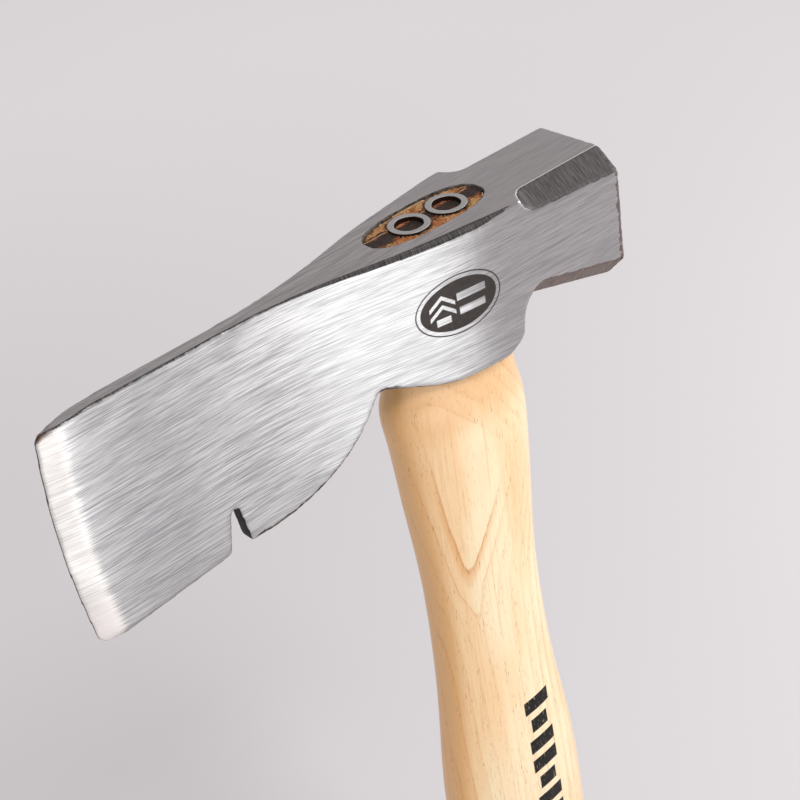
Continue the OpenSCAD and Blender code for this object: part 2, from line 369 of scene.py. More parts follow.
def wood_figure(points, near_y):
    """Which growth ring each point of the handle is in, as a number that rises by one a ring.
    On the near side the rings meet the surface in nested V shapes that close under the shoulder and run
    straight down below; deeper into the handle and round its sides they crowd together."""
    x, y, z = points.T
    above = z - APEX[1]
    below = 1 - np.exp(np.minimum(above, 0) / RUN)
    axis_x = APEX[0] + LEAN * np.maximum(above, 0) + RUN_SHIFT * below
    arms = (np.maximum(above, 0) - RUN * below) / ARM_RISE - np.hypot(x - axis_x, APEX_ROUND)
    close = -(CLOSE_TOWARDS[0] * (x - CLOSE_PLACE[0]) + CLOSE_TOWARDS[1] * (z - CLOSE_PLACE[1]))
    field = smooth_min(close, arms, CLOSE_BLEND)
    inside = RING_SPREAD * (1 - np.exp(-np.maximum(field, 0) / RING_SPREAD))
    field = np.where(field > 0, inside, field)
    low, high = [along(z, x, 2.0, pick, z) for pick in (np.min, np.max)]
    side = np.clip(np.abs(x - (low + high) / 2) / ((high - low) / 2), 0, 0.99)
    field -= SIDE_CROWD * (1 - np.sqrt(1 - side ** 2)) + DEPTH_CROWD * (y - near_y)
    return field / RING_STEP + RING_WOBBLE * noise_at(points, (9, 9, 34), 2.0)


FAR_IN_FRONT = 60


def near_side(points):
    """The y of the handle's near side, straight in front of each point."""
    tree = BVHTree.FromBMesh(welded("handle"))
    starts = points * [1, 0, 1] - [0, FAR_IN_FRONT, 0]
    hits = [tree.ray_cast(Vector(start * MM), Vector((0, 1, 0)))[0] for start in starts]
    return np.array([hit.y / MM if hit else 0 for hit in hits])


SAWN_Z = (-2.4, -1.2)


def sawn_end(points, facing):
    """1 on the sawn top of a wooden piece, 0 below it."""
    return smoothstep(points[:, 2], *SAWN_Z) * smoothstep(facing[:, 2], 0.4, 0.8)


# How far down the wood in the round wedges is darker, and how far down the gap and the stains are
# measured; below that they count as FAR_OFF. Then the depths of the pits and the gap in the sawn top.
CORE_DEPTH = 13
TOP_DEPTH = 4
FAR_OFF = 9.0
PIT = 0.7
FAR_GAP = 0.9


def distances(points, core_r):
    """How far each point is from the head, and from the nearest wedge, where it is near the top."""
    gap, stain = np.full((2, len(points)), FAR_OFF)
    top = points[:, 2] > -TOP_DEPTH
    gap[top] = distance_to("head", points[top])
    stain[top] = np.minimum(distance_to("wood_wedge", points[top]), np.abs(core_r[top] - RING_R))
    return gap, stain


def handle_mesh():
    """The hickory handle, with rough end grain in the eye and a gap along its far side there."""
    mesh, points, facing, _ = soften("handle", HANDLE_CELL, squeezed, unsqueezed, 6)
    x, y, z = points.T
    end = sawn_end(points, facing)
    core_r = np.min([np.hypot(x - ring_x, y) for ring_x in RING_X], axis=0)
    core = smoothstep(core_r, RING_R * 0.85, RING_R * 0.75) * (z > -CORE_DEPTH)
    gap, stain = distances(points, core_r)
    store(mesh, "end", end)
    store(mesh, "core", core)
    store(mesh, "figure", blurred(wood_figure(points, near_side(points)), get_edges(mesh), 4))
    store(mesh, "gap", gap)
    store(mesh, "stain", stain)
    saw = 0.11 * noise_at(points, 0.9) + 0.07 * noise_at(points, 0.35, 5.0)
    pit = PIT * smoothstep(noise_at(points, (1.3, 1.3, 4), 8.0), 0.28, 0.5) * (1 - core)
    far_gap = FAR_GAP * smoothstep(gap, 0.8, 0.3) * (y > 0) * smoothstep(np.abs(x + 2), 11, 8)
    points[:, 2] += end * (saw - 0.1 - np.maximum(pit, far_gap))
    set_points(mesh, points)
    return mesh


def wedge_mesh():
    """The wood wedge, roughly trimmed at the top."""
    mesh, points, facing, _ = soften("wood_wedge", WEDGE_CELL, plain, plain, 3)
    ragged = 0.2 * noise_at(points, (1.4, 0.7, 1), 2.0) - 0.2
    points[:, 2] += sawn_end(points, facing) * ragged
    set_points(mesh, points)
    return mesh


# The walls of the round wedges at the top and at the bottom, the rounding of their rims, and how far
# the rims are pushed in, evenly and by chance.
RING_WALL = 1.5
RING_TIP_WALL = 0.4
RING_FILLET = 0.18
LIP = 0.08
LIP_BUMPS = 0.14
RING_STEPS = 96
ARC_STEPS = 4


def ring_profile(low_z):
    """A round wedge's section as radii and heights: up its outside, over its rim and down its bore."""
    bore = RING_R - RING_WALL
    arc = [math.pi / 2 * step / ARC_STEPS for step in range(ARC_STEPS + 1)]
    outer, inner = RING_R - RING_FILLET, bore + RING_FILLET
    profile = [(bore, low_z), (bore + RING_TIP_WALL, low_z)]
    profile += [(outer + RING_FILLET * math.cos(a), RING_FILLET * (math.sin(a) - 1)) for a in arc]
    profile += [(inner - RING_FILLET * math.sin(a), RING_FILLET * (math.cos(a) - 1)) for a in arc]
    profile += [(bore, z) for z in (-0.7, -1.2, -2.0)]
    return np.array(profile).T


def ring_mesh(node, ring_x, seed):
    """A round steel wedge: a turned profile, thick and square at the top and thin at the bottom.
    Its edges are rounded, and the hammer has pushed the rim a little inward."""
    radius, height = ring_profile(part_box(node)[0].z / MM)
    turn = np.linspace(0, 2 * math.pi, RING_STEPS, endpoint=False)[:, None]
    lip = smoothstep(height, -1.2, -0.2) * (radius < RING_R - RING_WALL / 2)
    bumps = noise_at(np.column_stack([np.cos(turn), np.sin(turn), 0 * turn]), 0.45, seed)[:, None]
    radius = radius - lip * (LIP + LIP_BUMPS * bumps)
    points = [ring_x + radius * np.cos(turn), radius * np.sin(turn), height + 0 * turn]
    count = len(height)
    faces = []
    for step in range(RING_STEPS):
        here, there = step * count, (step + 1) % RING_STEPS * count
        for k in range(count):
            after = (k + 1) % count
            faces.append((here + k, there + k, there + after, here + after))
    mesh = bpy.data.meshes.new(node)
    mesh.from_pydata((np.stack(points, axis=-1).reshape(-1, 3) * MM).tolist(), [], faces)
    return mesh


# ---------------------------------------------------------------- material tools

def srgb(red, green, blue):
    """Linear colour from the three 0 to 255 display values."""
    def linear(value):
        share = value / 255
        return share / 12.92 if share <= 0.04045 else ((share + 0.055) / 1.055) ** 2.4
    return (linear(red), linear(green), linear(blue), 1)


class Paint:
    """A material's node tree, with short calls for the nodes that the finishes are made of."""

    def __init__(self, name):
        self.material = bpy.data.materials.new(name)
        self.material.use_nodes = True
        self.tree = self.material.node_tree
        self.shader = self.tree.nodes["Principled BSDF"]
        place = self.node("TexCoord", {}, "Object")
        self.place = self.node("VectorMath", {0: place, 3: 1 / MM}, operation="SCALE")
        self.x, self.y, self.z = self.parts(self.place)
        self.facing = self.parts(self.node("NewGeometry", {}, "Normal"))

    def put(self, socket, value):
        """Links a node's output to the socket, or sets a plain value on it."""
        if isinstance(value, bpy.types.NodeSocket):
            self.tree.links.new(value, socket)
        else:
            socket.default_value = value

    def node(self, kind, inputs, output=0, **settings):
        """One output of a new shader node, its inputs linked or set."""
        made = self.tree.nodes.new("ShaderNode" + kind)
        for name, value in settings.items():
            setattr(made, name, value)
        for name, value in inputs.items():
            self.put(made.inputs[name], value)
        return made.outputs[output]

    def parts(self, vector):
        """The x, y and z of a vector."""
        return [self.node("SeparateXYZ", {0: vector}, axis) for axis in "XYZ"]

    def math(self, operation, a, b=0.0):
        """The result of one of Blender's sums on one or two values."""
        return self.node("Math", {0: a, 1: b}, operation=operation)

    def add(self, a, b):
        """The sum of two values."""
        return self.math("ADD", a, b)

    def less(self, a, b):
        """The first value less the second."""
        return self.math("SUBTRACT", a, b)

    def times(self, a, *others):
        """The product of two or more values."""
        for b in others:
            a = self.math("MULTIPLY", a, b)
        return a

    def most(self, a, *others):
        """The largest of two or more values."""
        for b in others:
            a = self.math("MAXIMUM", a, b)
        return a

    def size(self, a):
        """The value without its sign."""
        return self.math("ABSOLUTE", a)

    def far(self, a, b):
        """The length of the vector a, b."""
        return self.math("SQRT", self.add(self.times(a, a), self.times(b, b)))

    def rise(self, value, low, high, start=0.0, finish=1.0):
        """Goes smoothly from start to finish as value goes from low to high."""
        inputs = {"Value": value, "From Min": low, "From Max": high, "To Min": start, "To Max": finish}
        return self.node("MapRange", inputs, interpolation_type="SMOOTHSTEP")

    def mix(self, share, a, b):
        """Colour a where share is 0, b where it is 1."""
        return self.node("Mix", {0: share, 6: a, 7: b}, 2, data_type="RGBA")

    def noise(self, scale, detail=2.0, roughness=0.5, turn=(0, 0, 0), shift=(0, 0, 0), place=None):
        """Noise from 0 to 1. scale is lumps a millimetre along x, y and z; turn is in degrees."""
        angles = [math.radians(angle) for angle in turn]
        turned = self.node("Mapping", {0: place or self.place, 1: shift, 2: angles, 3: (1, 1, 1)})
        scaled = self.node("VectorMath", {0: turned, 1: scale}, operation="MULTIPLY")
        inputs = {"Vector": scaled, "Scale": 1.0, "Detail": detail, "Roughness": roughness}
        return self.node("TexNoise", inputs)

    def chance(self, value):
        """One random number from 0 to 1 for each whole number."""
        return self.node("TexWhiteNoise", {"W": value}, "Value", noise_dimensions="1D")

    def attribute(self, name):
        """A number that the mesh stores for each vertex."""
        return self.node("Attribute", {}, "Fac", attribute_name=name)

    def ragged(self, value, chance, reach):
        """The value moved up or down by as much as half of reach, as chance goes from 0 to 1."""
        return self.add(value, self.times(self.add(chance, -0.5), reach))

    def bump(self, height, depth):
        """Tilts the shaded surface as if height, from 0 to 1, rose by depth millimetres."""
        inputs = {"Height": height, "Distance": depth * MM, "Strength": 1.0}
        self.put(self.shader.inputs["Normal"], self.node("Bump", inputs, "Normal"))

    def finish(self, **inputs):
        """Sets inputs of the main shader, named with _ for each space, and gives the material."""
        for name, value in inputs.items():
            self.put(self.shader.inputs[name.replace("_", " ")], value)
        return self.material


# ---------------------------------------------------------------- steel

# Each layer of scratches on the head: its angle in degrees, and their length and width in millimetres.
SCRATCH_LAYERS = [(0.5, 18, 0.2), (-1.0, 11, 0.17), (2.0, 7, 0.23)]


def scratches(paint, place, angle, length, width):
    """Fine parallel lines of chance brightness that fade out at their ends. 0 to 1."""
    turned = paint.node("Mapping", {0: place, 2: (0, math.radians(angle), 0), 3: (1, 1, 1)})
    x, y, z = paint.parts(turned)
    row = paint.math("FLOOR", paint.times(paint.add(y, z), 1 / width))
    run = paint.add(paint.times(x, 1 / length), paint.times(paint.chance(row), 7))
    cell = paint.node("CombineXYZ", {0: row, 1: paint.math("FLOOR", run)})
    level = paint.node("TexWhiteNoise", {"Vector": cell}, "Value", noise_dimensions="2D")
    window = paint.rise(paint.math("PINGPONG", run, 0.5), 0.0, 0.25)
    return paint.add(paint.times(paint.add(level, -0.5), window), 0.5)


def brushed(paint):
    """Fine scratches along the head, in layers that run at slightly different angles. 0 to 1.
    On the cheeks they only depend on the side view, so that the flare there doesn't break them up."""
    upward = paint.rise(paint.size(paint.facing[1]), 0.7, 0.5)
    place = paint.node("CombineXYZ", {0: paint.x, 1: paint.times(paint.y, upward), 2: paint.z})
    level = 0.0
    for angle, length, width in SCRATCH_LAYERS:
        level = paint.add(scratches(paint, place, angle, length, width), level)
    broad = paint.noise((0.03, 1.2, 1.2), 1, 0.5, turn=(0, 1, 0), place=place)
    level = paint.rise(paint.add(paint.times(level, 0.31), paint.times(broad, 0.07)), 0.2, 0.8)
    calm = paint.add(paint.times(upward, 0.3), paint.rise(paint.x, -14, POLL_X, 0.0, 0.35))
    return paint.node("Mix", {0: calm, 2: level, 3: 0.5})


def cross_ground(paint):
    """Short strokes across the head, left by the wheel on the corner flats. 0 to 1."""
    wide = paint.noise((5.5, 0.28, 0.28), 1, 0.5)
    fine = paint.noise((9, 0.5, 0.5), 1, 0.5, turn=(0, 0, 4))
    return paint.rise(paint.add(paint.times(wide, 0.6), paint.times(fine, 0.4)), 0.34, 0.66)


# The badge in the side view: its middle, half its size, the width of its ring, and how far in its dark
# oval starts.
EMBLEM_PLACE = (-4.3, -18.1)
EMBLEM_HALF = (11.75, 7.7)
EMBLEM_LINE = 0.35
EMBLEM_INSET = 1.3
OVAL_BLUR = 0.012
SHAPE_BLUR = 0.12
ROOF_BLUR = 0.1
ROOF_SLOPE = 0.75
BAR_HALF_H = 0.95


def oval(paint, shrink):
    """1 inside the emblem's oval drawn in by shrink millimetres, on the near cheek only."""
    across, down = [
        paint.times(paint.add(value, -centre), 1 / (half - shrink))
        for value, centre, half in zip((paint.x, paint.z), EMBLEM_PLACE, EMBLEM_HALF)
    ]
    inside = paint.rise(paint.far(across, down), 1 + OVAL_BLUR, 1 - OVAL_BLUR)
    return paint.times(inside, paint.rise(paint.y, 0, -1))


def within(paint, value, centre, half, blur):
    """1 where value is closer than half to centre."""
    return paint.rise(paint.size(paint.add(value, -centre)), half + blur, half - blur)


def block(paint, centre_x, centre_z, half_w, half_h):
    """1 inside an upright rectangle in the side view."""
    lengthways = within(paint, paint.x, centre_x, half_w, SHAPE_BLUR)
    return paint.times(lengthways, within(paint, paint.z, centre_z, half_h, SHAPE_BLUR))


def roof(paint, centre_x, under_z, half_w, thick):
    """1 on a roof-shaped bar: two equal slopes whose undersides meet at under_z."""
    away = paint.size(paint.add(paint.x, -centre_x))
    level = paint.add(paint.times(away, ROOF_SLOPE), paint.z)
    band = within(paint, level, under_z + thick / 2, thick / 2, ROOF_BLUR)
    return paint.times(band, within(paint, paint.x, centre_x, half_w, ROOF_BLUR))


def emblem(paint):
    """A plain generic badge: a dark oval in a thin ring, with bright roof shapes and bars. 0 to 1."""
    ring = paint.less(oval(paint, 0), oval(paint, EMBLEM_LINE))
    left, right = EMBLEM_PLACE[0] - 4.6, EMBLEM_PLACE[0] + 3.4
    middle = EMBLEM_PLACE[1]
    shapes = [block(paint, left, middle - 2.9, 1.9, 0.9)]
    for up in (0.4, 2.8):
        shapes.append(roof(paint, left, middle + up, 3.4, 1.1))
    for up, half_w in ((1.9, 4.0), (-1.9, 3.6)):
        shapes.append(block(paint, right, middle + up, half_w, BAR_HALF_H))
    dark = paint.times(oval(paint, EMBLEM_INSET), paint.less(1.0, paint.most(*shapes)))
    return paint.most(ring, dark)


# Pairs of places that something changes between: none of it at the first, all of it at the second.
# The dark line under the top edge widens and narrows again along the head, and the one along the belly
# starts and ends. The painted shade and the painted highlight on the cheeks start and end too.
BAND_WIDENS_X, BAND_NARROWS_X = (-52, -14), (2, 13)
BAND_WIDTHS, BAND_LOSS = (0.34, 1.5), 1.2
BELLY_START_X, BELLY_END_X = (-66, -64), (-20, -24)
BLADE_SHADE_START_X, BLADE_SHADE_END_X = (-64, -84), (-107, -93)
FLARE_START_X, FLARE_END_X = (-50, -34), (-2, -12)
POLL_SHADE_X = (-4, 10)
HEEL_Z, TOE_Z = (-40, -54), (-20, -4)
LOW_FLATS_Z = (-18, -24)


def top_band(paint, stain):
    """The dark broken line under the top edge of the cheeks, widest beside the eye. 0 to 1."""
    narrowing = paint.times(paint.rise(paint.x, *BAND_NARROWS_X), -BAND_LOSS)
    width = paint.add(paint.rise(paint.x, *BAND_WIDENS_X, *BAND_WIDTHS), narrowing)
    depth = paint.ragged(paint.attribute("depth"), stain, paint.rise(paint.x, -60, -45, 1.1, 0.35))
    band = paint.rise(depth, paint.add(width, 0.12), paint.add(width, -0.12))
    sideways = paint.rise(paint.size(paint.facing[1]), 0.25, 0.45)
    return paint.times(band, sideways, paint.rise(paint.x, POLL_X, POLL_X - 2))


def eye_lip_shade(paint):
    """Painted shade: the thin dark line where the top of the head turns down into the eye. 0 to 1."""
    start = paint.rise(paint.x, EYE_X[0] - 1, EYE_X[0] - 0.6)
    end = paint.rise(paint.x, EYE_X[1] + 1, EYE_X[1] + 0.6)
    across = paint.rise(paint.size(paint.y), EYE_HALF + 1, EYE_HALF + 0.6)
    return paint.times(start, end, across, paint.rise(paint.facing[2], 0.97, 0.85))


def belly_line(paint, stain):
    """The thin dark broken line along the belly of the blade. 0 to 1."""
    line = paint.rise(paint.ragged(paint.attribute("height"), stain, 1.6), 1.15, 0.8)
    start, end = paint.rise(paint.x, *BELLY_START_X), paint.rise(paint.x, *BELLY_END_X)
    return paint.times(line, start, end)


def flat_rim_highlight(paint, ground):
    """A painted highlight: the bright line along the rounded top edge of the corner flats of the poll.
    0 to 1.
    """
    line = paint.times(paint.rise(ground, 0.12, 0.3), paint.rise(ground, 0.62, 0.4))
    on_top = paint.rise(paint.facing[2], 0.5, 0.75)
    return paint.times(line, on_top, paint.rise(paint.x, POLL_X, POLL_X + 3))


CHEEK_SHADES = srgb(147, 148, 149), srgb(212, 213, 214)
TOP_SHADES = srgb(143, 139, 139), srgb(217, 211, 211)
CUT_SHADES = srgb(214, 210, 206), srgb(246, 246, 243)
# Painted shade darkens the cut at the toe, and a painted highlight brightens it at the heel.
CUT_TOE_SHADE, CUT_HEEL_HIGHLIGHT = srgb(190, 186, 183), srgb(255, 250, 247)
FLAT_SHADES = srgb(56, 53, 53), srgb(101, 98, 97)
LOW_FLAT_SHADES = srgb(96, 82, 77), srgb(150, 136, 130)
# A painted highlight along the rounded top edge of the corner flats.
FLAT_RIM_HIGHLIGHT = srgb(232, 228, 226)
PATCH = srgb(176, 170, 168)
# Painted shade that darkens the cheek towards the blade's end and on the poll.
BLADE_PAINTED_SHADE, POLL_PAINTED_SHADE = srgb(120, 121, 122), srgb(126, 109, 112)
# A painted highlight that lightens the flare of the cheek.
FLARE_PAINTED_HIGHLIGHT = srgb(240, 243, 242)
RUNOUT = srgb(190, 186, 184)
RAW_SHADES = srgb(34, 27, 22), srgb(108, 96, 88)
# Painted shade inside the nail notch.
NOTCH_PAINTED_SHADE = srgb(14, 10, 8)
ETCHED_SHADES = srgb(62, 58, 56), srgb(92, 87, 84)
FACE_RUST, TOE_RUST = srgb(92, 72, 64), srgb(92, 62, 48)


def cheek_colour(paint, brush):
    """Brushed steel: painted shade towards the blade's end and the poll, a painted highlight on the
    flare.
    """
    sideways = paint.rise(paint.size(paint.facing[1]), 0.6, 0.8)
    colour = paint.mix(sideways, paint.mix(brush, *TOP_SHADES), paint.mix(brush, *CHEEK_SHADES))
    patch = paint.noise((0.05, 0.05, 0.05), 3, 0.5)
    colour = paint.mix(paint.times(patch, 0.25), colour, PATCH)
    # Painted shade: the cheek is darkened towards the blade's end, then on the poll.
    cheek_shade = paint.times(paint.rise(paint.x, *BLADE_SHADE_START_X, 0.0, 0.36), paint.rise(paint.x, *BLADE_SHADE_END_X))
    colour = paint.mix(paint.times(cheek_shade, sideways), colour, BLADE_PAINTED_SHADE)
    cheek_shade = paint.rise(paint.x, *POLL_SHADE_X, 0.0, 0.25)
    colour = paint.mix(paint.times(cheek_shade, sideways), colour, POLL_PAINTED_SHADE)
    # A painted highlight lightens the flare of the cheek between them.
    bright = paint.rise(paint.x, *FLARE_START_X, 0.0, 0.2)
    bright = paint.times(bright, paint.rise(paint.x, *FLARE_END_X))
    return paint.mix(paint.times(bright, sideways), colour, FLARE_PAINTED_HIGHLIGHT)


def cut_colour(paint, brush):
    """The ground bevel of the cutting edge, with painted shade at the toe and a painted highlight at
    the heel.
    """
    colour = paint.mix(brush, *CUT_SHADES)
    colour = paint.mix(paint.rise(paint.z, *HEEL_Z, 0.0, 0.8), colour, CUT_HEEL_HIGHLIGHT)
    return paint.mix(paint.rise(paint.z, *TOE_Z, 0.0, 0.45), colour, CUT_TOE_SHADE)


def flat_colour(paint, cross):
    """The dark corner flats; those under the poll are browner."""
    upper = paint.mix(paint.rise(paint.x, 12, 15, 0.0, 0.06), paint.mix(cross, *FLAT_SHADES), RUNOUT)
    return paint.mix(paint.rise(paint.z, *LOW_FLATS_Z), upper, paint.mix(cross, *LOW_FLAT_SHADES))


def raw_colour(paint, stain):
    """Sheared and forged steel that was never ground, with painted shade nearly black inside the nail
    notch.
    """
    colour = paint.mix(paint.rise(stain, 0.35, 0.65), *RAW_SHADES)
    # Painted shade, nearly black, inside the nail notch.
    return paint.mix(within(paint, paint.x, NOTCH_X, 6, 1), colour, NOTCH_PAINTED_SHADE)


def rusted(paint, colour, stain):
    """The colour with a brown tinge round the striking face and at the toe of the blade."""
    near_face = paint.rise(paint.ragged(paint.x, stain, 3.2), FACE_X - 2.0, FACE_X - 1.6)
    beside = paint.times(paint.rise(paint.facing[0], 0.9, 0.6), paint.rise(paint.facing[2], 0.4, 0.1))
    colour = paint.mix(paint.times(near_face, beside, 0.8), colour, FACE_RUST)
    near_toe = paint.rise(paint.x, EDGE_X + 7, EDGE_X + 2)
    near_toe = paint.times(near_toe, paint.rise(paint.attribute("depth"), 1.6, 0.4))
    return paint.mix(paint.times(near_toe, paint.rise(stain, 0.4, 0.5, 0.3, 0.9)), colour, TOE_RUST)


def head_steel():
    """Brushed forged steel: dark ground flats, a bright cut, raw sheared edges and an etched badge."""
    paint = Paint("head_steel")
    brush, cross = brushed(paint), cross_ground(paint)
    stain = paint.noise((0.6, 0.6, 0.6), 4, 0.65, shift=(5, 5, 5))
    ground = paint.attribute("ground")
    # rim: where the painted highlight along the top edge of the corner flats goes.
    rim = flat_rim_highlight(paint, ground)
    ground = paint.most(paint.rise(ground, 0.4, 0.56), top_band(paint, stain))
    raw = paint.rise(paint.attribute("raw"), 0.35, 0.65)
    # The eye lip's painted shade is coloured like the raw steel, alongside the raw belly line.
    raw = paint.most(raw, eye_lip_shade(paint), belly_line(paint, stain))
    cut = paint.rise(paint.ragged(paint.attribute("cut"), brush, 0.3), 0.05, 0.95)
    mark = emblem(paint)
    colour = paint.mix(cut, cheek_colour(paint, brush), cut_colour(paint, brush))
    colour = paint.mix(ground, colour, flat_colour(paint, cross))
    # The painted highlight on the top edge of the corner flats.
    colour = paint.mix(paint.times(rim, 0.8), colour, FLAT_RIM_HIGHLIGHT)
    colour = paint.mix(paint.times(raw, 0.95), colour, raw_colour(paint, stain))
    colour = paint.mix(mark, colour, paint.mix(stain, *ETCHED_SHADES))
    colour = rusted(paint, colour, stain)
    rough = paint.add(paint.times(brush, -0.05), 0.355)
    coarse = paint.times(paint.most(mark, raw, rim), 0.6)
    rough = paint.most(rough, paint.times(ground, 0.55), coarse)
    groove = paint.mix(ground, brush, cross)
    paint.bump(paint.less(groove, paint.times(mark, 0.6)), 0.006)
    tangent = paint.node("Tangent", {}, direction_type="RADIAL", axis="X")
    lengthways = paint.times(paint.less(1.0, ground), paint.rise(paint.facing[0], 0.95, 0.8))
    metal = paint.less(1.0, paint.most(paint.times(raw, 0.5), paint.times(rim, 0.6)))
    brushing = {"Anisotropic": paint.times(lengthways, 0.7), "Tangent": tangent}
    return paint.finish(Base_Color=colour, Metallic=metal, Roughness=rough, **brushing)


RIM_SHADES = srgb(184, 182, 181), srgb(204, 202, 201)
BORE_SHADES = srgb(50, 34, 27), srgb(92, 66, 52)


def wedge_steel():
    """Ground rims of the round wedges, dark and rusty down inside."""
    paint = Paint("wedge_steel")
    brush = brushed(paint)
    inside = paint.rise(paint.facing[2], 0.7, 0.4)
    stain = paint.noise((1.2, 1.2, 1.2), 3, 0.6)
    colour = paint.mix(inside, paint.mix(brush, *RIM_SHADES), paint.mix(stain, *BORE_SHADES))
    paint.bump(brush, 0.005)
    rough = paint.add(paint.times(inside, 0.2), 0.5)
    return paint.finish(Base_Color=colour, Metallic=1.0, Roughness=rough)


# ---------------------------------------------------------------- wood

END_SHADES = srgb(236, 186, 122), srgb(198, 120, 58)
END_PORE = srgb(112, 60, 26)
END_STAIN = srgb(44, 26, 18)
# Painted shade, near black, in the gap between the handle and the head.
END_GAP_SHADE = srgb(14, 10, 8)
CORE_SHADES = srgb(70, 38, 26), srgb(196, 118, 68)


def end_grain(paint):
    """Sawn end grain: dark pores, stains by the wedges, painted shade in the head's gap, darker cores
    in the round wedges.
    """
    dots = paint.rise(paint.noise((2.4, 2.4, 2.4), 3, 0.7), 0.36, 0.56)
    blotch = paint.rise(paint.noise((0.4, 0.4, 0.4), 3, 0.6, shift=(2, 8, 2)), 0.38, 0.62)
    colour = paint.mix(blotch, *END_SHADES)
    colour = paint.mix(paint.times(dots, 0.7), END_PORE, colour)
    chance = paint.noise((0.8, 0.8, 0.8), 3, 0.7, shift=(6, 1, 4))
    stained = paint.rise(paint.ragged(paint.attribute("stain"), chance, 2.6), 0.9, 0.4)
    colour = paint.mix(paint.times(stained, 0.9), colour, END_STAIN)
    # Painted shade in the gap where the wood meets the head.
    gap_shade = paint.rise(paint.ragged(paint.attribute("gap"), chance, 0.39), 0.42, 0.3)
    colour = paint.mix(gap_shade, colour, END_GAP_SHADE)
    grain = paint.rise(paint.noise((0.5, 3.0, 3.0), 3, 0.65, turn=(0, 0, 20)), 0.35, 0.62)
    return paint.mix(paint.attribute("core"), colour, paint.mix(grain, *CORE_SHADES))


# Where in the side view the growth rings show most, and how far from there.
ACCENT_PLACE = (-16, -86)
ACCENT_REACH = 22

WOOD_SHADES = srgb(255, 235, 194), srgb(252, 215, 164)
# Painted shade: the shoulder under the head, and the handle's blade and poll sides.
SHOULDER_SHADE = srgb(240, 190, 132)
BLADE_SIDE_SHADE, POLL_SIDE_SHADE = srgb(236, 184, 120), srgb(250, 204, 150)
LATE_WOOD, RING_LINE = srgb(236, 176, 110), srgb(208, 140, 78)
STREAK, PORE, INK = srgb(230, 178, 120), srgb(160, 104, 60), srgb(20, 17, 15)


def ring_strength(paint, figure):
    """How strongly each growth ring shows: by chance, more in places, most near the accent. 0 to 1."""
    patch = paint.noise((0.08, 0.08, 0.02), 2, 0.5, shift=(1, 9, 5))
    patch = paint.rise(patch, 0.35, 0.62, 0.15, 0.55)
    chance = paint.rise(paint.chance(paint.math("FLOOR", figure)), 0.0, 1.0, 0.35, 1.1)
    across, up = [paint.add(value, -at) for value, at in zip((paint.x, paint.z), ACCENT_PLACE)]
    away = paint.far(across, paint.times(up, 0.6))
    accent = paint.rise(away, ACCENT_REACH, ACCENT_REACH * 0.2)
    accent = paint.times(accent, paint.rise(figure, -1.4, -0.6), 0.75)
    return paint.math("MINIMUM", paint.add(paint.times(patch, chance), accent), 1.0)


def wood_tone(paint):
    """The handle's broad tones: warmer patches, and painted shade under the head and on its front and
    back.
    """
    broad = paint.noise((0.05, 0.05, 0.012), 3, 0.5, shift=(7, 7, 7))
    colour = paint.mix(paint.rise(broad, 0.4, 0.6), *WOOD_SHADES)
    # Painted shade on the shoulder, under the head.
    shoulder = paint.rise(paint.add(paint.z, paint.times(broad, 20)), -48, -36, 0.0, 0.75)
    colour = paint.mix(shoulder, colour, SHOULDER_SHADE)
    # Painted shade on the blade and poll sides of the handle.
    colour = paint.mix(paint.rise(paint.facing[0], -0.6, -0.95), colour, BLADE_SIDE_SHADE)
    return paint.mix(paint.rise(paint.facing[0], 0.3, 0.9, 0.0, 0.4), colour, POLL_SIDE_SHADE)


def ringed(paint, colour, figure, year):
    """The colour with growth rings on it, each a soft band of late wood that ends in a broken line."""
    strength = ring_strength(paint, figure)
    late = paint.times(paint.rise(year, 0.35, 0.9), paint.rise(year, 1.0, 0.94))
    colour = paint.mix(paint.times(late, strength, 0.75), colour, LATE_WOOD)
    line = paint.times(paint.rise(year, 0.82, 0.95), paint.rise(year, 1.0, 0.955))
    broken = paint.noise((1.2, 1.2, 0.12), 2, 0.6, shift=(4, 2, 8))
    broken = paint.rise(broken, 0.36, 0.62, 0.25, 0.85)
    return paint.mix(paint.times(line, strength, broken), colour, RING_LINE)


# The printed bars: where the first starts, their pitch and number, their middle, half their length, and
# how much less half the length of every third one is.
BARS_TOP_Z = -148
BARS_PITCH = 7.2
BARS_COUNT = 12
BARS_X = 4.5
BARS_HALF = 4.8
SHORT_BY = 1.6


def printed_bars(paint):
    """Plain printed bars across the near side of the handle, every third one shorter. 0 to 1."""
    run = paint.times(paint.less(BARS_TOP_Z, paint.z), 1 / BARS_PITCH)
    bar = paint.rise(paint.math("PINGPONG", run, 0.5), 0.16, 0.19)
    third = paint.rise(paint.math("PINGPONG", run, 1.5), 1.0, 1.02)
    half = paint.add(paint.times(third, -SHORT_BY), BARS_HALF)
    away = paint.size(paint.add(paint.x, -BARS_X))
    inside = paint.rise(paint.less(half, away), -0.12, 0.12)
    start = paint.rise(run, 0.0, 0.01)
    end = paint.rise(run, BARS_COUNT + 0.01, BARS_COUNT)
    return paint.times(bar, inside, start, end, paint.rise(paint.y, -6, -7))


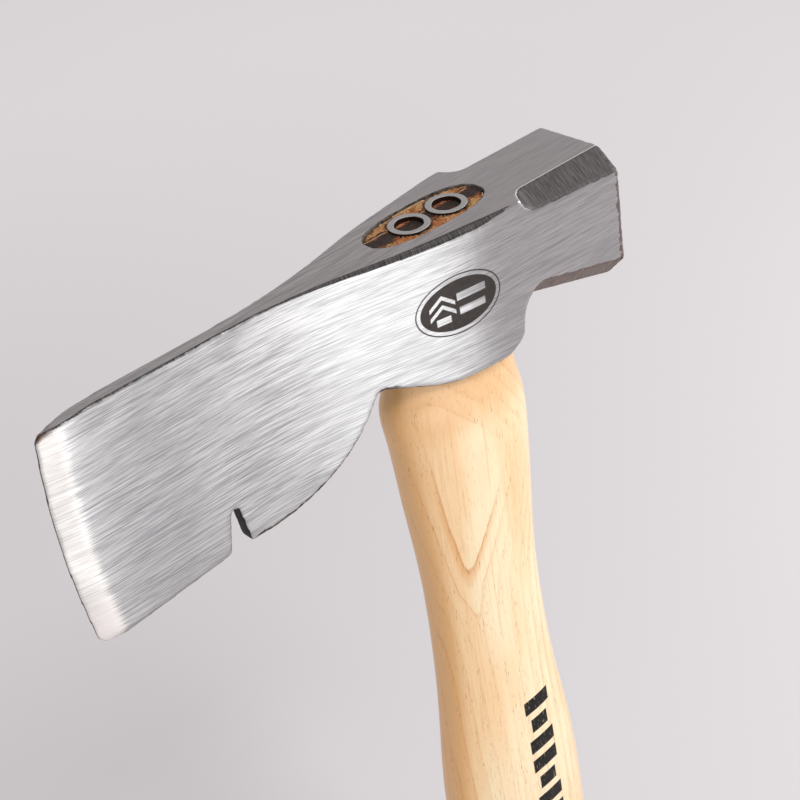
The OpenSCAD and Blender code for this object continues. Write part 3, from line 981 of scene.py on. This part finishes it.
def hickory():
    """Pale lacquered hickory: growth rings, short dark pores, rough end grain and printed bars."""
    paint = Paint("hickory")
    ripple = paint.noise((0.5, 0.5, 0.07), 2, 0.5, shift=(3, 3, 3))
    figure = paint.add(paint.attribute("figure"), paint.times(ripple, 0.16))
    year = paint.math("FRACT", figure)
    colour = ringed(paint, wood_tone(paint), figure, year)
    streak = paint.noise((1.6, 1.6, 0.03), 3, 0.6)
    colour = paint.mix(paint.times(paint.rise(streak, 0.5, 0.75), 0.45), colour, STREAK)
    pore = paint.rise(paint.noise((4.5, 4.5, 0.3), 1, 0.5), 0.62, 0.74)
    pore = paint.times(pore, paint.rise(year, 0.3, 0.9, 0.35, 1.0))
    colour = paint.mix(paint.times(pore, 0.7), colour, PORE)
    end = paint.attribute("end")
    colour = paint.mix(paint.most(end, paint.attribute("core")), colour, end_grain(paint))
    fleck = paint.rise(paint.noise((2.2, 2.2, 0.5), 3, 0.7, shift=(1, 6, 1)), 0.3, 0.42, 0.7, 1.0)
    ink = paint.times(printed_bars(paint), fleck)
    colour = paint.mix(ink, colour, INK)
    rough = paint.add(paint.times(end, 0.4), paint.add(paint.times(streak, 0.12), 0.3))
    paint.bump(paint.less(paint.times(streak, 0.5), pore), 0.02)
    lacquer = paint.times(paint.less(0.35, paint.times(end, 0.35)), paint.less(1.0, ink))
    shine = paint.less(0.5, paint.times(ink, 0.35))
    gloss = {"Coat_Weight": lacquer, "Coat_Roughness": 0.25, "Specular_IOR_Level": shine}
    return paint.finish(Base_Color=colour, Roughness=rough, **gloss)


WEDGE_SHADES = srgb(32, 21, 16), srgb(84, 50, 31)
WEDGE_RUST = srgb(150, 84, 42)


def wedge_wood():
    """Dark stained wedge wood, lighter where its grain has split and rust-brown along its sides."""
    paint = Paint("wedge_wood")
    fibre = paint.noise((0.7, 3.5, 3.5), 3, 0.65)
    colour = paint.mix(paint.rise(fibre, 0.45, 0.75), *WEDGE_SHADES)
    chance = paint.noise((0.5, 0.5, 0.5), 3, 0.65, shift=(3, 7, 1))
    side = paint.ragged(paint.size(paint.y), chance, 3.4)
    colour = paint.mix(paint.rise(side, WEDGE_HALF - 0.7, WEDGE_HALF + 0.1), colour, WEDGE_RUST)
    paint.bump(fibre, 0.15)
    return paint.finish(Base_Color=colour, Roughness=0.75)


# ---------------------------------------------------------------- pieces

def add_piece(node, mesh, material):
    """Shows mesh, kept within the CAD box, in place of the CAD node, on its body, with one material."""
    low, high = [np.array(corner) / MM for corner in CAD_BOX]
    set_points(mesh, np.clip(get_points(mesh), low, high))
    mesh.name = node + "_skin"
    mesh.shade_smooth()
    mesh.materials.clear()
    mesh.materials.append(material)
    piece = bpy.data.objects.new(node + "_skin", mesh)
    bpy.context.scene.collection.objects.link(piece)
    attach(piece, "root")
    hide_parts(node)
    return piece


def build_pieces():
    """Adds all five pieces, and gives them as a collection too, so that a lamp can be kept to them."""
    made = [
        add_piece("head", head_mesh(), head_steel()),
        add_piece("handle", handle_mesh(), hickory()),
        add_piece("wood_wedge", wedge_mesh(), wedge_wood()),
    ]
    steel = wedge_steel()
    for seed, (node, ring_x) in enumerate(zip(RINGS, RING_X)):
        made.append(add_piece(node, ring_mesh(node, ring_x, 4.0 + seed), steel))
    gathered = bpy.data.collections.new("lit_pieces")
    for piece in made:
        gathered.objects.link(piece)
    return gathered


# ---------------------------------------------------------------- stage

# Half the floor's width, its two shades, and how its glow grows from nothing to full strength.
FLOOR_HALF = 40000
FLOOR_SHADES = srgb(232, 228, 229), srgb(238, 235, 236)
GLOW_START, GLOW_END, GLOW = 200, 1100, 0.24


def floor():
    """A plain pale floor under the butt. Farther off it glows a little, so that it looks evenly lit."""
    mesh = bpy.data.meshes.new("floor")
    reach, z = FLOOR_HALF * MM, CAD_BOX[0][2]
    corners = [(-reach, -reach, z), (reach, -reach, z), (reach, reach, z), (-reach, reach, z)]
    mesh.from_pydata(corners, [], [(0, 1, 2, 3)])
    paint = Paint("floor_paint")
    pale = paint.mix(paint.noise((0.002, 0.002, 0.002), 2, 0.5), *FLOOR_SHADES)
    glow = paint.rise(paint.far(paint.x, paint.y), GLOW_START, GLOW_END, 0.0, GLOW)
    shine = {"Emission_Color": pale, "Emission_Strength": glow}
    mesh.materials.append(paint.finish(Base_Color=pale, Roughness=0.9, **shine))
    plane = bpy.data.objects.new("floor", mesh)
    bpy.context.scene.collection.objects.link(plane)


WORLD_COLOUR = srgb(255, 252, 254)
WORLD_STRENGTH = 0.54
HEAD_MIDDLE = (-20, 0, -20)


def lamp(name, place, target, size, power, only=None):
    """A square soft lamp at place that faces target. only: the collection it lights, if not all."""
    data = bpy.data.lights.new(name, "AREA")
    data.size = size * MM
    data.energy = power
    thing = bpy.data.objects.new(name, data)
    bpy.context.scene.collection.objects.link(thing)
    away = (Vector(place) - Vector(target)) * MM
    thing.rotation_euler = away.to_track_quat("Z", "Y").to_euler()
    thing.location = Vector(place) * MM
    thing.visible_camera = False
    if only:
        thing.light_linking.receiver_collection = only


def light(pieces):
    """Even light from all round, a key lamp, one from the right and two low ones for the pieces."""
    world = bpy.data.worlds.new("studio")
    world.use_nodes = True
    background = world.node_tree.nodes["Background"]
    background.inputs["Color"].default_value = WORLD_COLOUR
    background.inputs["Strength"].default_value = WORLD_STRENGTH
    bpy.context.scene.world = world
    lamp("key", (0, -560, 640), HEAD_MIDDLE, 180, 2.3)
    lamp("right", (760, -260, 160), (0, 0, -60), 400, 3.2)
    lamp("low", (60, -560, -260), HEAD_MIDDLE, 300, 0.54, pieces)
    lamp("low_left", (-160, -560, -260), HEAD_MIDDLE, 300, 0.32, pieces)


# The camera looks down on the near cheek from the blade end, tipped a little to one side. The angles
# are in degrees, the lens and sensor in millimetres.
CAMERA_PLACE = (-222.99, -273.79, 179.90)
CAMERA_HEADING = -36.98
CAMERA_DROP = 33.05
CAMERA_ROLL = -9.52
LENS = 76.54
SENSOR = 36.0


def camera():
    """Sets the camera up and makes it the scene's."""
    data = bpy.data.cameras.new("camera")
    data.lens = LENS
    data.sensor_width = SENSOR
    data.clip_start = 10 * MM
    eye = bpy.data.objects.new("camera", data)
    bpy.context.scene.collection.objects.link(eye)
    turn = Matrix.Rotation(math.radians(CAMERA_HEADING), 4, "Z")
    tilt = Matrix.Rotation(math.radians(90 - CAMERA_DROP), 4, "X")
    roll = Matrix.Rotation(math.radians(CAMERA_ROLL), 4, "Z")
    eye.matrix_world = Matrix.Translation(Vector(CAMERA_PLACE) * MM) @ turn @ tilt @ roll
    bpy.context.scene.camera = eye


pieces = build_pieces()
floor()
light(pieces)
camera()
bpy.context.scene.view_settings.view_transform = "Standard"
